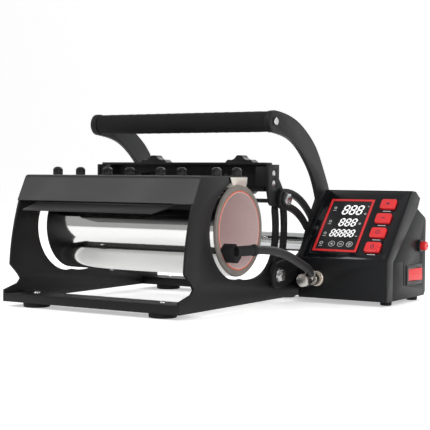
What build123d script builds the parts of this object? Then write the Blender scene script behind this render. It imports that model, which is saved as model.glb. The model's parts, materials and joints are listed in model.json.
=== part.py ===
"""Tumbler heat press with a lever, a heated sleeve and a control box, in millimetres.

Sizes are worked out from the front lower corner of the end plates: X runs across the press,
Y runs to the rear and Z runs up. The finished pieces are then moved so that the origin lies
on the floor, under the middle of the whole press.
"""
import os
from math import cos, radians, sin, sqrt

from build123d import *

# Frame
frame_width = 250.0
plate_thickness = 3.0
plate_depth = 315.0
toe_height = 14.0
rail_depth = 36.0
rail_height = 10.0
rail_wall = 1.6
foot_height = 6.0
foot_radius = 16.0
foot_x = 90.0
foot_y = 20.0
sheet = 1.6
hood_rear = 140.0

# Heated sleeve
bore_radius = 43.8
bore_y = 119.0
bore_z = 87.0
liner_wall = 0.5
mat_wall = 1.3
felt_wall = 6.6
band_wall = 1.0
sleeve_left = -114.0
sleeve_right = 128.2
felt_proud = 2.0
sleeve_slit = 2.0
band_fit = 0.05
saddle_rise = 7.8
saddle_width = 27.0
saddle_flare = 3.5
saddle_rear = 18.5
saddle_rear_flare = 1.0

# Clamp row on the hood
stud_pitch = 76.9
front_row = 88.7
rear_row = 133.2
stud_radius = 2.5
nut_radius = 6.0
nut_height = 10.0
clamp_bar_width = 14.0
clamp_bar_height = 4.0

# Guide slot, carriage and lever
slot_radius = 104.0
slot_half_width = 4.3
slot_low_angle = -18.0
arm_inner_radius = 87.0
arm_outer_radius = 121.0
guide_angle = 19.5
guide_shank = 4.0
carriage_ratio = 0.12
lever_travel = 32.0
lever_slot_reach = 46.0
lever_slot_margin = 13.0
pivot_y = 204.0
pivot_z = 30.0
pivot_shank = 5.0
bolt_across = 13.0
bolt_head = 4.5
washer_radius = 8.8
washer_height = 1.2
running_fit = 0.05
side_gap = 0.4
bracket_thickness = 3.0
lever_thickness = 5.0
lever_arm_radius = 13.5
beam_y = 186.0
beam_depth = 20.0
beam_low = 131.0
beam_height = 35.0
beam_wall = 2.5
tie_rod_radius = 2.5
tie_rod_y = 195.0
tie_rod_z = 120.0
grip_y = 190.0
grip_z = 215.0
grip_radius = 12.8
grip_tube_radius = 9.0
grip_screw_radius = 3.0
grip_collar = 3.0
crossbar_radius = 12.2
crossbar_y = 285.0
crossbar_z = 66.0
knob_spacing = 65.0
knob_radius = 27.0
knob_thickness = 20.0
knob_lobes = 8
knob_standoff = 16.0
rod_radius = 3.7

# Control box
box_left = 136.0
box_width = 118.5
box_front = 250.0
box_lip_height = 49.0
panel_rise = 83.5
panel_run = 74.0
box_rear = 370.0
box_wall = 2.5
panel_margin = 4.5
panel_plate = 1.6
display_left = 14.0
display_side = 59.0
display_low = 12.0
display_height = 84.0
button_inset = 24.5
button_low = 19.8
button_pitch = 22.75
button_width = 20.0
button_height = 12.0
button_proud = 3.0
button_flange = 1.2
button_fit = 0.25
board_wall = 1.6
board_depth = 4.6
rocker_inset = 38.0
rocker_z = 28.5
rocker_length = 38.0
rocker_height = 19.0
rocker_rim = 3.0
rocker_depth = 24.0
rocker_fit = 0.4
fuse_inset = 20.0
fuse_z = 63.5
fuse_radius = 7.5
fuse_cap_radius = 5.0
fuse_cap_length = 9.0
inlet_x = 195.0
inlet_z = 32.0
inlet_width = 28.0
inlet_height = 20.0
box_foot_radius = 7.0

# Heater lead
socket_x = 161.3
socket_z = 24.5
socket_flange_radius = 9.6
socket_flange = 3.0
socket_thread_radius = 7.0
plug_length = 36.0
plug_radius = 6.2
coupling_radius = 7.8
coupling_length = 11.0
clamp_radius = 7.6
clamp_length = 11.0
outlet_end = 234.0
lead_diameter = 10.0
lead_route = [
    (164.5, 226.3, 29.6),
    (170.0, 214.5, 37.6),
    (170.5, 197.0, 43.5),
    (169.0, 160.0, 58.5),
    (165.0, 122.0, 67.0),
    (154.5, 101.0, 66.1),
]
lead_radii = [14.0, 20.0, 40.0, 30.0]

half_width = frame_width / 2
plate_inner = half_width - plate_thickness
bracket_inner = half_width + side_gap
bracket_outer = bracket_inner + bracket_thickness
lever_inner = bracket_outer + side_gap
lever_outer = lever_inner + lever_thickness
liner_radius = bore_radius + liner_wall
mat_radius = liner_radius + mat_wall
felt_radius = mat_radius + felt_wall
band_radius = felt_radius + band_wall
hood_height = bore_z + band_radius + saddle_rise
hood_top = hood_height + sheet
box_right = box_left + box_width
box_height = box_lip_height + panel_rise
rocker_y = box_rear - rocker_inset
fuse_y = box_rear - fuse_inset
display_width = box_width - display_side
button_across = box_width - button_inset
panel_length = sqrt(panel_run**2 + panel_rise**2)
guide_y = bore_y + slot_radius * cos(radians(guide_angle))
guide_z = bore_z + slot_radius * sin(radians(guide_angle))
carriage_travel = carriage_ratio * lever_travel
slot_high_angle = guide_angle + carriage_travel + 1.2


def turned(point, centre, degrees):
    """A point of the YZ plane, turned about a centre."""
    a = radians(degrees)
    y = point[0] - centre[0]
    z = point[1] - centre[1]
    return (centre[0] + y * cos(a) - z * sin(a), centre[1] + y * sin(a) + z * cos(a))


def side_prism(sketch, x_from, x_to):
    """Extrude a sketch, drawn as (Y, Z), from one X to another."""
    face = Plane.YZ.offset(x_from) * sketch
    return extrude(face, amount=x_to - x_from, dir=(1, 0, 0))


def rod_x(y, z, radius, x_from, x_to):
    """A round bar along X."""
    return side_prism(Pos(y, z) * Circle(radius), x_from, x_to)


def rod_y(x, z, radius, y_from, y_to):
    """A round bar along Y."""
    face = Plane.XZ.offset(-y_from) * (Pos(x, z) * Circle(radius))
    return extrude(face, amount=y_to - y_from, dir=(0, 1, 0))


def rod_z(x, y, radius, z_from, z_to):
    """A round bar along Z."""
    face = Plane.XY.offset(z_from) * (Pos(x, y) * Circle(radius))
    return extrude(face, amount=z_to - z_from)


def block(x_from, x_to, y_from, y_to, z_from, z_to):
    """A box between two corners."""
    size = (x_to - x_from, y_to - y_from, z_to - z_from)
    return Pos(x_from, y_from, z_from) * Box(*size, align=(Align.MIN, Align.MIN, Align.MIN))


def folded(points, wall):
    """The outline of a folded sheet that lies on the left of its path."""
    path = [Vector(p[0], p[1]) for p in points]
    runs = [(b - a).normalized() for a, b in zip(path, path[1:])]
    normals = [Vector(-run.Y, run.X) for run in runs]
    inner = [path[0] + normals[0] * wall]
    for corner, before, after in zip(path[1:-1], normals, normals[1:]):
        mitre = (before + after) / (1 + before.dot(after))
        inner.append(corner + mitre * wall)
    inner.append(path[-1] + normals[-1] * wall)
    outline = [(p.X, p.Y) for p in path + inner[::-1]]
    return make_face(Polyline(*outline, close=True))


def ring_sector(centre, radius, half_width_, low, high):
    """A curved slot about a centre, with round ends."""
    ring = Circle(radius + half_width_) - Circle(radius - half_width_)
    reach = 3 * radius
    wedge_points = [(0, 0)]
    for degrees in (low, (low + high) / 2, high):
        wedge_points.append((reach * cos(radians(degrees)), reach * sin(radians(degrees))))
    ring = ring & make_face(Polyline(*wedge_points, close=True))
    for degrees in (low, high):
        spot = Pos(radius * cos(radians(degrees)), radius * sin(radians(degrees)))
        ring = ring + spot * Circle(half_width_)
    return Pos(*centre) * ring


def hex_head(y, z, across, x_from, height):
    """A hexagon head or nut on an X axis."""
    hexagon = Pos(y, z) * RegularPolygon(across / 2, 6, major_radius=False)
    head = side_prism(hexagon, x_from, x_from + height)
    return head & rod_x(y, z, across * 0.56, x_from, x_from + height)


def lever_locus(degrees, offset):
    """Where the guide bolt lies in the lever after it has turned, moved off the path sideways."""
    def spot(angle):
        bolt = turned((guide_y, guide_z), (bore_y, bore_z), carriage_ratio * angle)
        return turned(bolt, (pivot_y, pivot_z), -angle)
    here = spot(degrees)
    before = spot(degrees - 0.5)
    after = spot(degrees + 0.5)
    run = Vector(after[0] - before[0], after[1] - before[1]).normalized()
    return (here[0] - run.Y * offset, here[1] + run.X * offset)


def locus_band(half, from_angle, to_angle):
    """A band along the path that the guide bolt takes through the lever."""
    steps = 5
    angles = [from_angle + (to_angle - from_angle) * i / (steps - 1) for i in range(steps)]
    upper = [lever_locus(a, half) for a in angles]
    lower = [lever_locus(a, -half) for a in angles]
    edges = [Spline(*upper), Line(upper[-1], lower[-1]), Spline(*lower), Line(lower[0], upper[0])]
    band = make_face(edges)
    for angle in (from_angle, to_angle):
        band = band + Pos(*lever_locus(angle, 0)) * Circle(half)
    return band


def end_plate():
    """One end plate, on the right: a swept front, a horn over the sleeve and a slotted arm."""
    toe = Polyline((plate_depth, 0), (0, 0), (0, toe_height), (23.5, 20), (28.5, 25), (24, 31), (10.5, 43))
    front = Spline((10.5, 43), (13.5, 70), (18, 91), (26.5, 118.5))
    horn = Polyline((26.5, 118.5), (41.5, hood_height), (99.5, hood_height), (102, 141))
    throat = Spline((102, 141), (90, 134), (70.5, 117), (60, 90), (66.7, 61), (95, 35), (126, 30.5))
    floor = Spline((126, 30.5), (166, 30), (187, 38.5), (201, 54), (205.5, 80))
    rear = Polyline((205.5, 80), (230, 80), (237, 55.5), (243, 50.5), (270, 50.5), (300, 48),
                    (plate_depth, 35), (plate_depth, 0))
    face = make_face([toe, front, horn, throat, floor, rear])
    bore = (bore_y, bore_z)
    middle = (arm_inner_radius + arm_outer_radius) / 2
    half = (arm_outer_radius - arm_inner_radius) / 2
    blunt = guide_angle - 4
    face = face + ring_sector(bore, middle, half, slot_low_angle, guide_angle - 7.5)
    face = face + ring_sector(bore, slot_radius, 12.5, 0, blunt)
    face = face + ring_sector(bore, slot_radius, 2 * slot_half_width, 0, slot_high_angle)
    face = face - ring_sector(bore, slot_radius, slot_half_width, slot_low_angle, slot_high_angle)
    face = face - Pos(pivot_y, pivot_z) * Circle(pivot_shank)
    return side_prism(face, plate_inner, half_width)


def hood():
    """The folded hood: its leaning front and its flat top."""
    path = [(26.5, 118.5), (41.5, hood_height), (hood_rear, hood_height)]
    shell = side_prism(folded(path, sheet), -half_width, half_width)
    for x, y in stud_places():
        shell = shell - rod_z(x, y, stud_radius + 0.2, hood_height - 5, hood_height + 5)
    return shell


def guide_flap():
    """The sloping flap under the hood, with an upstand riveted behind the hood's front."""
    outline = folded([(-4.0, 108.0), (26.9, 114.9), (35.5, 131.8)], sheet)
    flap = side_prism(outline, -97.5, 97.5)
    taper = make_face(Polyline((-97.5, 30), (-97.5, 27), (-91, -6), (91, -6), (97.5, 27),
                               (97.5, 60), (-97.5, 60), close=True))
    return flap & extrude(Plane.XY.offset(90) * taper, amount=60)


def flap_rivets():
    """Rivets that hold the flap's upstand to the hood."""
    group = []
    for x in (-72, 0, 72):
        plane = Plane(origin=(x, 31.0, 127.4), z_dir=(0, hood_height - 118.5, -15))
        shank = extrude(plane.offset(-sheet) * Circle(1.5), amount=2 * sheet)
        head = extrude(plane.offset(sheet) * Circle(3.0), amount=1.0)
        group.append(shank + head)
    return group


def stud_places():
    """The X and Y of the eight studs."""
    return [(stud_pitch * (i - 1.5), y) for y in (front_row, rear_row) for i in range(4)]


def base_rail(y_from):
    """A base rail: an upturned channel between the end plates."""
    y_to = y_from + rail_depth
    path = [(y_to, 0), (y_to, rail_height), (y_from, rail_height), (y_from, 0)]
    rail = side_prism(folded(path, rail_wall), -plate_inner, plate_inner)
    for x, y in foot_places():
        rail = rail - rod_z(x, y, 1.9, 0, rail_height + 1)
    return rail


def foot_places():
    """The X and Y of the four feet."""
    return [(x, y) for y in (foot_y, plate_depth - foot_y) for x in (-foot_x, foot_x)]


def rubber_foot(x, y):
    """A rubber foot with a boss that fills the rail."""
    foot = rod_z(x, y, foot_radius, -foot_height, 0)
    foot = chamfer(foot.faces().sort_by(Axis.Z)[0].edges(), 1.2)
    foot = foot + rod_z(x, y, foot_radius - 3, -0.5, rail_height - rail_wall)
    return foot - rod_z(x, y, 1.9, -foot_height / 2, rail_height)


def foot_screw(x, y):
    """A pan head screw from the top of a rail into a foot."""
    head = rod_z(x, y, 4.0, rail_height, rail_height + 2.2)
    head = fillet(head.faces().sort_by(Axis.Z)[-1].edges(), 0.9)
    shank = rod_z(x, y, 1.9, -foot_height / 2, rail_height)
    return head + shank


def sleeve_ring(outer, inner, x_from, x_to, slit):
    """One layer of the sleeve, split along its top."""
    ring = side_prism(Pos(bore_y, bore_z) * (Circle(outer) - Circle(inner)), x_from, x_to)
    if slit > 0:
        ring = ring - block(x_from - 1, x_to + 1, bore_y - slit / 2, bore_y + slit / 2,
                            bore_z, bore_z + 2 * outer)
    return ring


def band():
    """The polished band: a split sleeve whose ends stand up beside the saddle."""
    inner = band_radius - band_wall
    near = bore_y - saddle_width / 2
    far = bore_y + saddle_rear
    low_near = bore_z + sqrt(inner**2 - (saddle_width / 2) ** 2)
    low_far = bore_z + sqrt(inner**2 - saddle_rear**2)
    ring = Pos(bore_y, bore_z) * (Circle(band_radius) - Circle(inner))
    gap = Polyline((near, bore_z), (near, hood_height), (far, hood_height), (far, bore_z), close=True)
    ring = ring - make_face(gap)
    front = folded([(front_row - clamp_bar_width / 2, hood_height), (near - saddle_flare, hood_height),
                    (near, low_near)], -band_wall)
    rear = folded([(far + saddle_rear_flare, hood_height), (far, low_far)], band_wall)
    shell = side_prism(ring + rear, sleeve_left, sleeve_right - felt_proud)
    flange = side_prism(front, sleeve_left, sleeve_right - felt_proud)
    end_gap = block(plate_inner - 1, sleeve_right, 0, near - saddle_flare - 2 * band_wall, bore_z, hood_height)
    shell = shell + (flange - end_gap) - rod_x(bore_y, bore_z, felt_radius, sleeve_left, sleeve_right)
    for x, y in stud_places():
        if y == front_row:
            shell = shell - rod_z(x, y, stud_radius, hood_height - 5, hood_height + 5)
    return shell


def saddle():
    """The block between the band's ends, wider at its top, that the rear studs are set in."""
    near = bore_y - saddle_width / 2
    far = bore_y + saddle_rear
    low_near = bore_z + sqrt((band_radius - band_wall) ** 2 - (saddle_width / 2) ** 2)
    low_far = bore_z + sqrt((band_radius - band_wall) ** 2 - saddle_rear**2)
    outline = Polyline((near, low_near), (far, low_far), (far + saddle_rear_flare, hood_height),
                       (near - saddle_flare, hood_height), close=True)
    shape = side_prism(make_face(outline), sleeve_left, sleeve_right - felt_proud)
    shape = shape - rod_x(bore_y, bore_z, felt_radius, sleeve_left, sleeve_right)
    for x, y in stud_places():
        if y == rear_row:
            shape = shape - rod_z(x, y, stud_radius, hood_height - 5, hood_height + 5)
    return shape


def clamp_bar():
    """The flat bar that clamps the band's front end to the hood."""
    half = clamp_bar_width / 2
    high = hood_height - band_wall
    bar = block(sleeve_left, plate_inner - 1, front_row - half, front_row + half,
                high - clamp_bar_height, high)
    for x, y in stud_places():
        bar = bar - rod_z(x, y, stud_radius, high - clamp_bar_height, high)
    return bar


def clamp_stud(x, y):
    """A stud that stands through the hood."""
    return rod_z(x, y, stud_radius, hood_height - 5, hood_top + nut_height - 4)


def cap_nut(x, y):
    """A knurled nut with a domed end."""
    grip = rod_z(x, y, nut_radius, hood_top, hood_top + nut_height - 3)
    dome = Pos(x, y, hood_top + nut_height - nut_radius) * Sphere(nut_radius)
    dome = dome & rod_z(x, y, nut_radius - 0.6, hood_top + 2, hood_top + nut_height + 1)
    nut = grip + dome
    for i in range(18):
        turn = 2 * 3.14159265 * i / 18
        spot = (x + (nut_radius + 0.3) * cos(turn), y + (nut_radius + 0.3) * sin(turn))
        nut = nut - rod_z(*spot, 0.6, hood_top + 0.8, hood_top + nut_height - 3.4)
    return nut - rod_z(x, y, stud_radius, hood_top, hood_top + nut_height - 4)


def plug_head():
    """The flat head and neck of the heating mat's plug, at the low front of the sleeve."""
    turn = 218.0
    reach = radians(turn)
    def slab(x_from, x_to, r_from, r_to, half):
        middle = (r_from + r_to) / 2
        spot = Pos(bore_y + middle * cos(reach), bore_z + middle * sin(reach)) * Rot(0, 0, turn)
        return side_prism(spot * Rectangle(r_to - r_from, 2 * half), x_from, x_to)
    head = slab(sleeve_right, sleeve_right + 15, 33.5, mat_radius, 10.5)
    head = chamfer(head.edges().filter_by(Axis.X), 1.5)
    start = Vector(*lead_route[-1])
    run = (Vector(*lead_route[-2]) - start).normalized()
    base = Plane(origin=start - run * 20, z_dir=run)
    neck = extrude(base * Circle(lead_diameter / 2 + 0.9), amount=24)
    neck = neck + extrude(base.offset(22) * Circle(lead_diameter / 2 + 1.7), amount=4)
    return head + neck


def heater_lead():
    """The lead from the mat's plug to the connector."""
    path = FilletPolyline(*lead_route, radius=lead_radii)
    start = Plane(origin=path @ 0, z_dir=path % 0)
    return sweep(start * Circle(lead_diameter / 2), path=path)


def cable_connector():
    """The round connector that meets the socket on the control box."""
    front = box_front - socket_flange
    tail = front - plug_length
    body = rod_y(socket_x, socket_z, plug_radius, tail, front)
    clamp = rod_y(socket_x, socket_z, clamp_radius, tail, tail + clamp_length)
    start = Vector(*lead_route[0])
    run = (Vector(*lead_route[1]) - start).normalized()
    outlet = extrude(Plane(origin=start - run * 7, z_dir=run) * Circle(lead_diameter / 2 + 1.2), amount=12)
    front_half = rod_y(socket_x, socket_z, 4 * clamp_radius, tail + clamp_length / 2, outlet_end)
    return body + clamp + (outlet & front_half)


def coupling_ring():
    """The knurled ring that turns on the connector."""
    front = box_front - socket_flange - side_gap
    back = front - coupling_length
    ring = rod_y(socket_x, socket_z, coupling_radius, back, front)
    for i in range(24):
        turn = 2 * 3.14159265 * i / 24
        spot = (socket_x + (coupling_radius + 0.2) * cos(turn), socket_z + (coupling_radius + 0.2) * sin(turn))
        ring = ring - rod_y(*spot, 0.6, back + 1.5, front - 3)
    return ring - rod_y(socket_x, socket_z, plug_radius + running_fit, back, front)


def panel_socket():
    """The socket in the box wall, with its flange nut."""
    flange = rod_y(socket_x, socket_z, socket_flange_radius, box_front - socket_flange, box_front)
    flange = chamfer(flange.faces().sort_by(Axis.Y)[0].edges(), 0.8)
    return flange + rod_y(socket_x, socket_z, socket_thread_radius, box_front, box_front + 14)


def pivot_bolt():
    """The bolt that the lever turns on, held by the end plate."""
    shank = rod_x(pivot_y, pivot_z, pivot_shank, plate_inner - 5, lever_outer + side_gap)
    nut = hex_head(pivot_y, pivot_z, 13.0, plate_inner - 5, 5)
    under_head = lever_outer + side_gap + washer_height
    washer = rod_x(pivot_y, pivot_z, washer_radius, lever_outer + side_gap, under_head)
    head = hex_head(pivot_y, pivot_z, bolt_across, under_head, bolt_head)
    return shank + nut + washer + head


def pivot_spacer():
    """The ring between the end plate and the lever."""
    ring = Pos(pivot_y, pivot_z) * (Circle(9) - Circle(pivot_shank))
    return side_prism(ring, half_width, bracket_outer)


def lever_arm():
    """One arm of the lever: a C from the grip to the pivot, with a slotted branch."""
    outer = Spline((grip_y, grip_z + lever_arm_radius), (221, 225), (250, 217), (277, 203), (298, 187),
                   (313, 169), (327, 148.5), (336.5, 132.5), (341, 112), (338, 90), (325, 68))
    under = Spline((325, 68), (300, 48), (270, 34), (235, 20), (pivot_y, 14))
    inside = Polyline((pivot_y, 14), (pivot_y, 46))
    low = Spline((pivot_y, 46), (240, 49), (262, 56), (273, 70), (281, 88))
    root = Line((281, 88), (304.5, 121))
    inner = Spline((304.5, 121), (296, 139), (286, 154), (270, 170), (253, 183), (231, 194), (210, 199),
                   (grip_y, grip_z - lever_arm_radius))
    end = Line((grip_y, grip_z - lever_arm_radius), (grip_y, grip_z + lever_arm_radius))
    face = make_face([outer, under, inside, low, root, inner, end])
    face = face + Pos(grip_y, grip_z) * Circle(lever_arm_radius)
    face = face + Pos(pivot_y, pivot_z) * Circle(16)
    face = face + locus_band(lever_slot_margin, 0, lever_slot_reach)
    face = face - locus_band(slot_half_width, -1, lever_slot_reach)
    face = face - Pos(pivot_y, pivot_z) * Circle(pivot_shank + running_fit)
    face = face - Pos(grip_y, grip_z) * Circle(grip_screw_radius)
    return side_prism(face, lever_inner, lever_outer)


def tube_x(y, z, outer, inner, x_from, x_to):
    """A tube along X."""
    return side_prism(Pos(y, z) * (Circle(outer) - Circle(inner)), x_from, x_to)


def grip_screw():
    """A button head screw that holds the grip tube to an arm."""
    head = rod_x(grip_y, grip_z, 4.6, lever_outer, lever_outer + 3)
    head = fillet(head.faces().sort_by(Axis.X)[-1].edges(), 1.4)
    return head + rod_x(grip_y, grip_z, grip_screw_radius, lever_inner - 18, lever_outer)


def beam_end(x_from, x_to):
    """The solid end of the rear beam, under the bracket."""
    return block(x_from, x_to, beam_y + 1, beam_y + beam_depth - beam_wall, beam_low + 6, beam_low + 30)


def rear_beam():
    """The channel that carries the pressure knobs: open to the front, with a block at each end."""
    inside = plate_inner - 0.6
    beam_rear = beam_y + beam_depth
    high = beam_low + beam_height
    outline = folded([(beam_y, beam_low), (beam_rear, beam_low), (beam_rear, high), (beam_y, high)],
                     beam_wall)
    beam = side_prism(outline, -inside, inside)
    end = beam_end(inside - 12, bracket_inner)
    beam = beam + end + mirror(end, about=Plane.YZ)
    for x in (-knob_spacing, knob_spacing):
        beam = beam - rod_y(x, knob_z(), rod_radius + running_fit, beam_rear - beam_wall - 1, beam_rear + 1)
    for z in bracket_screw_rows():
        beam = beam - rod_x(beam_y + 12.3, z, 2.0, inside - 9, half_width + 9)
        beam = beam - rod_x(beam_y + 12.3, z, 2.0, -half_width - 9, 9 - inside)
    return beam


def knob_z():
    """The height of the pressure knobs."""
    return beam_low + beam_height / 2


def bracket_screw_rows():
    """The heights of the two screws in each bracket."""
    return (beam_low + 10, beam_low + 22)


def bracket():
    """The plate that joins the beam, the guide bolt and the tie rod."""
    outline = Polyline((185, 163.6), (211.5, 163.6), (211.5, 146.6), (225, 130.5), (216.6, 111),
                       (194, 114), (189, 117.5), (185, 131), close=True)
    face = make_face(outline) + Pos(guide_y, guide_z) * Circle(11) + Pos(tie_rod_y, tie_rod_z) * Circle(6)
    face = face - Pos(guide_y, guide_z) * Circle(guide_shank)
    plate = side_prism(face, bracket_inner, bracket_outer)
    for z in bracket_screw_rows():
        plate = plate - bracket_screw(z)
    return plate


def bracket_screw(z):
    """A screw with its head sunk in the bracket, so that the lever clears it."""
    head = rod_x(beam_y + 12.3, z, 3.5, bracket_outer - 2, bracket_outer)
    return head + rod_x(beam_y + 12.3, z, 2.0, plate_inner - 8, bracket_outer)


def guide_bolt():
    """The bolt that rides in the plate's slot and in the lever's slot."""
    under_head = lever_outer + side_gap + washer_height
    shank = rod_x(guide_y, guide_z, guide_shank, plate_inner - side_gap - 5, under_head)
    return shank + hex_head(guide_y, guide_z, bolt_across, under_head, bolt_head)


def star_washer():
    """A toothed washer under the guide bolt's head."""
    face = Circle(washer_radius) - Circle(guide_shank)
    for i in range(14):
        face = face - Rot(0, 0, 360 * i / 14) * Pos(washer_radius, 0) * Circle(0.9)
    x_from = lever_outer + side_gap
    return side_prism(Pos(guide_y, guide_z) * face, x_from, x_from + washer_height)


def guide_nut():
    """The nut on the inner end of the guide bolt."""
    x_from = plate_inner - side_gap - 5
    return hex_head(guide_y, guide_z, 13.0, x_from, 5) - rod_x(guide_y, guide_z, guide_shank, x_from, half_width)


def pressure_knob(x):
    """A lobed knob on a threaded rod that stands through the beam's web."""
    face = Circle(knob_radius)
    for i in range(knob_lobes):
        face = face - Rot(0, 0, 360 * (i + 0.5) / knob_lobes) * Pos(knob_radius + 7, 0) * Circle(10.5)
    y_from = beam_y + beam_depth + knob_standoff
    plane = Plane(origin=(x, y_from, knob_z()), x_dir=(1, 0, 0), z_dir=(0, 1, 0))
    knob = extrude(plane * face, amount=knob_thickness - 4)
    knob = chamfer(knob.faces().sort_by(Axis.Y)[-1].edges(), 2.4)
    hub = rod_y(x, knob_z(), 15, y_from - 5, y_from)
    boss = rod_y(x, knob_z(), 14, y_from + knob_thickness - 4, y_from + knob_thickness)
    boss = chamfer(boss.faces().sort_by(Axis.Y)[-1].edges(), 2.0)
    rod = rod_y(x, knob_z(), rod_radius, beam_y + 5, y_from)
    return knob + hub + boss + rod


def box_outline():
    """The side outline of the control box as (Y, Z), from the low front round to the low rear."""
    panel_top = (box_front + panel_run, box_height)
    crown = (panel_top[0] + 12, box_height - 1)
    brow = (panel_top[0] + 26, box_height - 9.5)
    notch = (panel_top[0] + 18, box_height - 22.5)
    return [(box_front, 0), (box_front, box_lip_height), panel_top, crown, brow, notch,
            (box_rear - 3.5, box_height - 33.5), (box_rear, box_height - 37.5), (box_rear, 5), (box_rear - 4, 0)]


def box_skin():
    """The whole box, hollow."""
    outline = make_face(Polyline(*box_outline(), close=True))
    inner = offset(outline, -box_wall, kind=Kind.INTERSECTION)
    outer_prism = side_prism(outline, box_left, box_right)
    outer_prism = fillet(outer_prism.edges().filter_by(Axis.X).sort_by(Axis.Y)[0:2], 1.0)
    return outer_prism - side_prism(inner, box_left + box_wall, box_right - box_wall)


def shell_zone():
    """The part of the side view that the front shell takes."""
    brow, notch = box_outline()[4:6]
    behind = brow[0] + 10
    over = box_height + 20
    points = [(box_front - 9, -9), (box_front - 9, over), (behind, over), (behind, brow[1]), brow, notch,
              (box_front + 18, box_lip_height - 2), (box_front + 17, -9)]
    return side_prism(make_face(Polyline(*points, close=True)), box_left - 9, box_right + 9)


def on_panel(sketch, back, front):
    """Extrude a sketch drawn on the sloping panel, from one height over it to another."""
    slope = Vector(0, panel_run, panel_rise).normalized()
    plane = Plane(origin=(box_left, box_front, box_lip_height), x_dir=(1, 0, 0),
                  z_dir=(0, -slope.Z, slope.Y))
    return extrude(plane.offset(back) * sketch, amount=front - back)


def panel_box(u_from, u_to, v_from, v_to):
    """A rectangle on the panel, between two corners."""
    middle = Pos((u_from + u_to) / 2, (v_from + v_to) / 2)
    return middle * Rectangle(u_to - u_from, v_to - v_from)


def panel_face():
    """The outline of the glossy panel."""
    return panel_box(panel_margin, box_width - 2.5, 1.5, panel_length - 1.5)


def display_face():
    """The outline of the display's coloured frame."""
    return panel_box(display_left, display_left + display_width, display_low, display_low + display_height)


def window_face():
    """The outline of the display's glass."""
    rim = 3.0
    return panel_box(display_left + rim, display_left + display_width - rim,
                     display_low + rim, display_low + display_height - rim)


def button_spot(i):
    """The middle of a button on the panel."""
    return Pos(button_across, button_low + i * button_pitch)


def button_face(extra):
    """The outline of a button, grown by an extra on each side."""
    return RectangleRounded(button_width + 2 * extra, button_height + 2 * extra + 3, 3 + extra)


def front_shell():
    """The front shell of the box: the lip, the slope and its crown."""
    shell = box_skin() & shell_zone()
    shell = shell - on_panel(panel_face(), -panel_plate, 9)
    shell = shell - on_panel(panel_box(11.5, box_width - 11, 8, panel_length - 8.5), -box_wall - 2, 9)
    shell = shell - rod_y(socket_x, socket_z, socket_thread_radius, box_front - 1, box_front + box_wall + 1)
    for u in (8.0, box_width - 7.5):
        for v in (6.5, panel_length - 6.5):
            shell = shell + on_panel(Pos(u, v) * Circle(2.4), -board_depth, -box_wall + 0.2)
    return shell


def rear_housing():
    """The rear housing of the box, with openings for the switch, the fuse and the inlet."""
    housing = box_skin() - shell_zone()
    housing = housing - bezel_block(0, -box_wall - 1, 1)
    housing = housing - rod_x(fuse_y, fuse_z, fuse_cap_radius + 1, box_right - 9, box_right + 1)
    housing = housing - block(inlet_x - inlet_width / 2, inlet_x + inlet_width / 2, box_rear - 9, box_rear + 1,
                              inlet_z - inlet_height / 2, inlet_z + inlet_height / 2)
    return housing - block(box_right - 0.7, box_right + 1, rocker_y - 33, rocker_y - 31.6, 17, 45)


def bezel_block(extra, x_from, x_to):
    """The block that the switch takes in the right wall, grown by an extra."""
    half_y = rocker_length / 2 + extra + 1.6
    half_z = rocker_height / 2 + extra
    return block(box_right + x_from, box_right + x_to, rocker_y - half_y, rocker_y + half_y,
                 rocker_z - half_z, rocker_z + half_z)


def control_panel():
    """The glossy panel that is let into the slope."""
    panel = on_panel(panel_face(), -panel_plate, 0)
    panel = panel - on_panel(display_face(), -0.8, 1)
    panel = panel - on_panel(window_face(), -panel_plate - 1, 1)
    for i in range(4):
        panel = panel - on_panel(button_spot(i) * button_face(button_fit), -panel_plate - 1, 1)
    return panel


def display_frame():
    """The coloured frame round the display."""
    return on_panel(display_face() - window_face(), -0.8, 0.3)


def display_glass():
    """The display: its glass and the block behind it."""
    return on_panel(window_face(), -board_depth, -0.2)


def circuit_board():
    """The board behind the panel, on the shell's four pegs."""
    return on_panel(panel_box(5.0, box_width - 4.5, 4.0, panel_length - 4.5), -board_depth - board_wall, -board_depth)


def button(i):
    """A push button with a flange behind the panel."""
    cap = on_panel(button_spot(i) * button_face(0), -panel_plate - side_gap - button_flange, button_proud)
    cap = fillet(cap.faces().sort_by(Axis((0, 0, 0), (0, -panel_rise, panel_run)))[-1].edges(), 0.9)
    back = -panel_plate - side_gap
    return cap + on_panel(button_spot(i) * button_face(1.5), back - button_flange, back)


def rocker_bezel():
    """The switch body: a rim outside the wall and a pocket inside it."""
    rim = bezel_block(rocker_rim, 0, 1.5)
    rim = chamfer(rim.faces().sort_by(Axis.X)[-1].edges(), 0.7)
    body = rim + bezel_block(0, -rocker_depth, 0.5)
    half_y = rocker_length / 2
    half_z = rocker_height / 2 - 1.6
    body = body - block(box_right - rocker_depth + 2, box_right + 2, rocker_y - half_y, rocker_y + half_y,
                        rocker_z - half_z, rocker_z + half_z)
    return body - rod_z(box_right - 4, rocker_y, 1.5 + running_fit, rocker_z - half_z - 1.2,
                        rocker_z + half_z + 1.2)


def power_rocker():
    """The rocker, resting on one side, on two short pins."""
    half_z = rocker_height / 2 - 1.6 - rocker_fit
    reach = rocker_length / 2 - rocker_fit
    lens = make_face(Polyline((-7, -reach), (6.4, -reach), (4.2, 0), (6.4, reach), (-7, reach), close=True))
    face = Rot(0, 0, -8) * (lens & Circle(reach))
    plane = Plane(origin=(box_right - 4, rocker_y, rocker_z - half_z), z_dir=(0, 0, 1))
    body = extrude(plane * face, amount=2 * half_z)
    return body + rod_z(box_right - 4, rocker_y, 1.5, rocker_z - half_z - 1.2, rocker_z + half_z + 1.2)


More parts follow.
